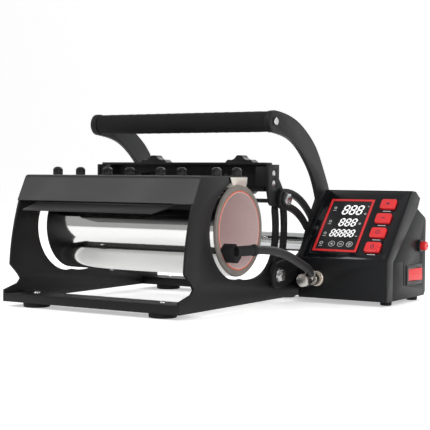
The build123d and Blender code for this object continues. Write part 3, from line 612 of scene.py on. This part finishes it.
class PRESS_OT_lever(bpy.types.Operator):
    """The lever with its foam grip, crossbar and pivot bolts"""
    bl_idname = "press.lever"
    bl_label = "Lever"

    def execute(self, context):
        radius = context.scene.press_sizes.grip_radius * 1000
        foam = cellular("black foam", linear("#1C1C1D"), 0.85, 1100, 0.5, 0.0003, 0.0)
        eased("right_lever_arm", coat(), 0.5)
        eased("left_lever_arm", coat(), 0.5)
        eased("pivot_bolts", zinc(), 0.3)
        eased("pivot_spacers", zinc(), 0.2)
        eased("grip_screws", zinc(), 0.25)
        eased("grip_collars", rubber(), 0.4)
        tube = ring_profile(-ARM_INNER, ARM_INNER, *GRIP_TUBE_RADII, 0.2)
        mesh_object("grip tube", "lever", ["grip_tube"], zinc(), lambda b: lathe(b, tube, GRIP_AXIS, 48))

        def grip(build):
            rows = []
            steps = 64
            for i in range(steps + 1):
                x = -GRIP_HALF + 2 * GRIP_HALF * i / steps
                swell = 0.12 * math.sin(i * 1.7) + 0.08 * math.sin(i * 3.1)
                near = min(i, steps - i) / 2.0
                rows.append((x, radius - 0.25 + swell - (0.8 if near == 0 else 0.2 if near < 1 else 0)))
            profile = rows + [(GRIP_HALF, GRIP_TUBE_RADII[1]), (-GRIP_HALF, GRIP_TUBE_RADII[1])]
            lathe(build, profile, GRIP_AXIS, 72)

        mesh_object("foam grip", "lever", ["foam_grip"], foam, grip, 50)
        cross = ring_profile(-ARM_INNER, ARM_INNER, *CROSSBAR_RADII, 0.2)
        mesh_object("crossbar", "lever", ["lever_crossbar"], chrome(),
                    lambda b: lathe(b, cross, CROSSBAR_AXIS, 96))
        return {"FINISHED"}


class PRESS_OT_carriage(bpy.types.Operator):
    """The rear beam, its brackets, guide bolts, tie rod and the two pressure knobs"""
    bl_idname = "press.carriage"
    bl_label = "Carriage"

    def execute(self, context):
        for node in ("rear_beam", "left_bracket", "right_bracket"):
            eased(node, coat(), 0.3)
        for node in ("bracket_screws", "guide_bolts", "guide_nuts"):
            eased(node, zinc(), 0.25)
        eased("star_washers", black_steel(), 0.15)
        eased("tie_rod", black_steel(), 0.2)
        knob = finish("moulded knob plastic", linear("#19191A"), 0.38, grain=1500, bump=0.2, depth=0.0001,
                      shine=0.25)
        for node in ("left_pressure_knob", "right_pressure_knob"):
            eased(node, knob, 0.8)
        return {"FINISHED"}


class PRESS_OT_box(bpy.types.Operator):
    """The control box: its shells, panel, switch, fuse and inlet"""
    bl_idname = "press.box"
    bl_label = "Control box"

    def execute(self, context):
        eased("front_shell", plastic(), 1.0)
        eased("rear_housing", plastic(), 0.8)
        eased("control_panel", gloss_plastic(), 0.3)
        eased("circuit_board", finish("coated circuit board", linear("#1D5A38"), 0.4, grain=300), 0.0)
        eased("display_frame", red_plastic(), 0.1)
        window = finish("dark display window", linear("#2C2C2E"), 0.22, grain=400, bump=0.0, shift=0.05,
                        shine=0.3)
        eased("display_glass", window, 0.0)
        eased("rocker_bezel", finish("switch body plastic", linear("#18181A"), 0.35), 0.3)
        eased("power_rocker", red_plastic(), 0.4)
        eased("fuse_holder", finish("fuse holder plastic", linear("#17171A"), 0.3), 0.4)
        eased("fuse_cap", red_plastic(), 0.3)
        eased("power_inlet", finish("inlet plastic", linear("#19191B"), 0.4), 0.3)
        eased("box_feet", rubber(), 0.4)
        return {"FINISHED"}


def bar(build, points, w_from, w_to):
    """A flat mark on the panel, from its outline as (u, v)."""
    low = [build.verts.new(on_panel(u, v, w_from)) for u, v in points]
    high = [build.verts.new(on_panel(u, v, w_to)) for u, v in points]
    count = len(points)
    build.faces.new(low[::-1])
    build.faces.new(high)
    for i in range(count):
        build.faces.new((low[i], low[(i + 1) % count], high[(i + 1) % count], high[i]))


def eight(build, u, v, wide, tall, stroke):
    """A figure eight of seven slanted bars, its lower left corner at (u, v)."""
    lean = 0.14
    gap = 0.35

    def lay(a, b):
        run = Vector(b) - Vector(a)
        run.normalize()
        side = Vector((-run.y, run.x)) * stroke / 2
        start = Vector(a) + run * gap
        end = Vector(b) - run * gap
        cut = run * stroke / 2
        shape = [start, start + cut + side, end - cut + side, end, end - cut - side, start + cut - side]
        bar(build, [(u + p.x + lean * p.y, v + p.y) for p in shape][::-1], MARK_BACK, MARK_FRONT)

    mid = tall / 2
    for height in (0, mid, tall):
        lay((0, height), (wide, height))
    for side, low, high in ((0, 0, mid), (wide, 0, mid), (0, mid, tall), (wide, mid, tall)):
        lay((side, low), (side, high))


def hoop(build, u, v, outer, inner, w_from=MARK_BACK, w_to=MARK_FRONT, steps=28):
    """A flat ring on the panel."""
    for i in range(steps):
        a = 2 * math.pi * i / steps
        b = 2 * math.pi * (i + 1) / steps
        quad = [(u + r * math.cos(t), v + r * math.sin(t))
                for r, t in ((inner, a), (outer, a), (outer, b), (inner, b))]
        bar(build, quad, w_from, w_to)


def plain_bar(build, u, v, wide, tall, w_from=MARK_BACK, w_to=MARK_FRONT):
    """A small upright rectangle on the panel, about its middle."""
    bar(build, [(u - wide / 2, v - tall / 2), (u + wide / 2, v - tall / 2), (u + wide / 2, v + tall / 2),
                (u - wide / 2, v + tall / 2)], w_from, w_to)


class PRESS_OT_marks(bpy.types.Operator):
    """Figures and signs on the display, the buttons and the switch"""
    bl_idname = "press.marks"
    bl_label = "Display and signs"

    def execute(self, context):
        def figures(build):
            for i in range(3):
                eight(build, 35 + i * 9.6, 72, 6.2, 13.5, 2.0)
                eight(build, 36.5 + i * 8.2, 53, 5.2, 11, 1.75)
            for i in range(5):
                eight(build, 29.5 + i * 6.7, 36, 4.4, 10.5, 1.5)

        lit = glow("lit white figures", linear("#F4F4F4"), 0.6)
        mesh_object("display figures", "base", [], lit, figures)

        def signs(build):
            for u in (37, 49, 61):
                hoop(build, u, 24, 4.3, 3.6)
            plain_bar(build, 37, 24, 1.2, 3.4)
            plain_bar(build, 37, 24, 3.4, 1.2)
            plain_bar(build, 49, 24, 3.6, 1.2)
            hoop(build, 61, 24, 1.9, 1.0)
            hoop(build, 22.5, 25, 2.4, 1.5)
            plain_bar(build, 22.5, 20.5, 4.6, 0.7)
            for u, v in ((23.5, 80), (23.5, 58), (22.5, 39)):
                hoop(build, u, v + 1.5, 1.9, 1.1)
                plain_bar(build, u, v - 2.6, 4.4, 0.7)
            hoop(build, 68, 85, 1.0, 0.5)
            hoop(build, 67, 73, 1.4, 0.7)
            hoop(build, 64.5, 57, 1.5, 0.6)
            plain_bar(build, 65.8, 37, 3.0, 0.9)
            # The four bars beside the buttons take the signs' glow though they are no lamp: painted light
            for i in range(4):
                plain_bar(build, BUTTON_ACROSS + 0.5, 9.6 + i * BUTTON_PITCH, 10.5, 1.0, MARK_BACK, 0.12)

        dim = glow("pale grey signs", linear("#B9B9BA"), 0.25)
        mesh_object("display signs", "base", [], dim, signs)
        ink = finish("dark violet ink", linear("#4A2C4A"), 0.5)
        for i, (body, kind) in enumerate((("set_key", "dot"), ("down_key", "ring"), ("up_key", "bar"),
                                          ("mode_key", "cross"))):
            u, v = BUTTON_ACROSS, BUTTON_LOW + i * BUTTON_PITCH

            def sign(build, u=u, v=v, kind=kind):
                low, high = BUTTON_TOP - 0.1, BUTTON_TOP + 0.04
                if kind in ("bar", "cross"):
                    plain_bar(build, u, v, 5.0, 1.3, low, high)
                if kind == "cross":
                    plain_bar(build, u, v, 1.3, 5.0, low, high)
                if kind == "ring":
                    hoop(build, u, v, 2.9, 1.8, low, high)
                if kind == "dot":
                    hoop(build, u, v - 0.4, 2.7, 1.7, low, high)
                    plain_bar(build, u, v + 2.6, 1.1, 2.2, low, high)

            mesh_object("button sign " + kind, body, [], ink, sign)

        return {"FINISHED"}


class PRESS_OT_buttons(bpy.types.Operator):
    """The four red push buttons"""
    bl_idname = "press.buttons"
    bl_label = "Buttons"

    def execute(self, context):
        for node in ("set_button", "down_button", "up_button", "mode_button"):
            eased(node, red_plastic(), 0.5)
        return {"FINISHED"}


ROUTE = [(164.5, 226.3, 29.6), (170.0, 214.5, 37.6), (170.5, 197.0, 43.5), (169.0, 160.0, 58.5),
         (165.0, 122.0, 67.0), (154.5, 101.0, 66.1)]


class PRESS_OT_lead(bpy.types.Operator):
    """The heater cable with its plug and its round connector"""
    bl_idname = "press.lead"
    bl_label = "Heater lead"

    def execute(self, context):
        across = context.scene.press_sizes.cable
        line = bpy.data.curves.new("heater cable", "CURVE")
        line.dimensions = "3D"
        spline = line.splines.new("NURBS")
        spline.points.add(len(ROUTE) - 1)
        for point, place in zip(spline.points, ROUTE):
            point.co = (*at(*place), 1.0)
        spline.order_u = 3
        spline.use_endpoint_u = True
        spline.resolution_u = 16
        line.bevel_depth = across / 2
        line.bevel_resolution = 8
        line.use_fill_caps = True
        cable = bpy.data.objects.new("cable_line", line)
        context.scene.collection.objects.link(cable)
        line.materials.append(finish("cable rubber", linear("#232324"), 0.5, grain=900, bump=0.12, shine=0.3))
        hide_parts("heater_cable")
        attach(cable, "base")
        eased("mat_plug", rubber(), 0.8)
        silver = finish("nickel plate", linear("#C8C5C0"), 0.25, metal=1.0, grain=500, bump=0.05)
        eased("cable_connector", silver, 0.3)
        mesh_object("coupling ring", "connector_ring", ["coupling_ring"], silver,
                    lambda b: knurl(b, CONNECTOR_AXIS, 235.6, 246.6, 7.8, 28, 0.5, 6.25))
        eased("panel_socket", finish("plated flange nut", linear("#CFC4B6"), 0.3, metal=0.9, grain=400), 0.4)
        return {"FINISHED"}


class PRESS_OT_stage(bpy.types.Operator):
    """Floor, lamps, world and the camera at the photograph's angle"""
    bl_idname = "press.stage"
    bl_label = "Stage"

    def execute(self, context):
        scene = context.scene
        scene.view_settings.view_transform = "Standard"
        mesh = bpy.data.meshes.new("floor")
        build = bmesh.new()
        profile = [(-6.0, 0.0), (3.0, 0.0)]
        for i in range(1, 13):
            turn = math.radians(90 * i / 12)
            profile.append((3.0 + 1.5 * math.sin(turn), 1.5 - 1.5 * math.cos(turn)))
        profile.append((4.5, 6.0))
        rows = [[build.verts.new((x, y, z)) for x in (-7.0, 7.0)] for y, z in profile]
        for a, b in zip(rows, rows[1:]):
            build.faces.new((a[0], a[1], b[1], b[0]))
        build.to_mesh(mesh)
        build.free()
        floor = bpy.data.objects.new("floor", mesh)
        scene.collection.objects.link(floor)
        paper = bpy.data.materials.new("white backdrop paper")
        paper.use_nodes = True
        tree = paper.node_tree
        shader = tree.nodes["Principled BSDF"]
        shader.inputs["Base Color"].default_value = linear("#FBFBFB")
        shader.inputs["Roughness"].default_value = 0.9
        shader.inputs["Specular IOR Level"].default_value = 0.0
        shader.inputs["Emission Color"].default_value = (1, 1, 1, 1)
        ray = add(tree, "ShaderNodeLightPath").outputs
        seen = add(tree, "ShaderNodeMath", {"operation": "MAXIMUM"}, {
            0: ray["Is Camera Ray"], 1: ray["Is Glossy Ray"]})
        faint = add(tree, "ShaderNodeMath", {"operation": "MULTIPLY"}, {0: seen.outputs[0], 1: 0.45})
        tree.links.new(faint.outputs[0], shader.inputs["Emission Strength"])
        mesh.materials.append(paper)
        for face in mesh.polygons:
            face.use_smooth = True

        world = bpy.data.worlds.new("studio")
        scene.world = world
        world.use_nodes = True
        sky = world.node_tree.nodes["Background"]
        sky.inputs["Color"].default_value = (1, 1, 1, 1)
        ray = add(world.node_tree, "ShaderNodeLightPath").outputs["Is Camera Ray"]
        bright = add(world.node_tree, "ShaderNodeMath", {"operation": "MAXIMUM"}, {0: ray, 1: 0.5})
        world.node_tree.links.new(bright.outputs[0], sky.inputs["Strength"])

        def lamp(name, place, aim, size, power):
            data = bpy.data.lights.new(name, "AREA")
            data.shape = "RECTANGLE"
            data.size, data.size_y = size
            data.energy = power
            item = bpy.data.objects.new(name, data)
            item.location = Vector(place) + at(0, DEPTH / 2, -FOOT)
            item.rotation_euler = (Vector(aim) - Vector(place)).to_track_quat("-Z", "Y").to_euler()
            scene.collection.objects.link(item)

        lamp("key softbox", (-1.4, -1.7, 2.0), (0, 0, 0.1), (1.2, 1.2), 26)
        lamp("right strip", (2.2, -0.3, 1.3), (0, 0, 0.1), (0.7, 1.6), 14)
        lamp("rear softbox", (0.2, 2.0, 2.0), (0, 0, 0.15), (2.0, 0.9), 22)
        lamp("bore fill", (1.5, -1.1, 0.45), (0.1, -0.04, 0.09), (0.4, 0.4), 7)

        az = math.radians(31.993)
        el = math.radians(1.985)
        look = Vector((-math.sin(az) * math.cos(el), math.cos(az) * math.cos(el), -math.sin(el)))
        data = bpy.data.cameras.new("camera")
        data.sensor_width = 36.0
        data.lens = 99.37
        data.clip_end = 50.0
        camera = bpy.data.objects.new("camera", data)
        camera.location = at(826.31, -1052.10, 151.90)
        turn = look.to_track_quat("-Z", "Y") @ Quaternion((0, 0, 1), math.radians(0.425))
        camera.rotation_mode = "QUATERNION"
        camera.rotation_quaternion = turn
        scene.collection.objects.link(camera)
        scene.camera = camera
        return {"FINISHED"}


class PRESS_PT_panel(bpy.types.Panel):
    """Sizes, colours and steps of the press"""
    bl_idname = "PRESS_PT_panel"
    bl_label = "Tumbler heat press"
    bl_space_type = "VIEW_3D"
    bl_region_type = "UI"
    bl_category = "Press"

    def draw(self, context):
        for step in STEPS:
            self.layout.operator(step.bl_idname)
        for group in (context.scene.press_sizes, context.scene.press_colours):
            for field in group.bl_rna.properties:
                if field.identifier not in ("rna_type", "name"):
                    self.layout.prop(group, field.identifier)


STEPS = (PRESS_OT_frame, PRESS_OT_hood, PRESS_OT_sleeve, PRESS_OT_lever, PRESS_OT_carriage, PRESS_OT_box,
         PRESS_OT_buttons, PRESS_OT_marks, PRESS_OT_lead, PRESS_OT_stage)
CLASSES = (PressSizes, PressColours) + STEPS + (PRESS_PT_panel,)


def register():
    """Register the classes and the scene's settings."""
    for item in CLASSES:
        bpy.utils.register_class(item)
    bpy.types.Scene.press_sizes = PointerProperty(type=PressSizes)
    bpy.types.Scene.press_colours = PointerProperty(type=PressColours)


def unregister():
    """Remove the classes and the scene's settings."""
    del bpy.types.Scene.press_colours
    del bpy.types.Scene.press_sizes
    for item in reversed(CLASSES):
        bpy.utils.unregister_class(item)


def main():
    """Build the press."""
    register()
    bpy.ops.press.frame()
    bpy.ops.press.hood()
    bpy.ops.press.sleeve()
    bpy.ops.press.lever()
    bpy.ops.press.carriage()
    bpy.ops.press.box()
    bpy.ops.press.buttons()
    bpy.ops.press.marks()
    bpy.ops.press.lead()
    bpy.ops.press.stage()
    bpy.context.view_layer.update()


if __name__ == "__main__":
    main()
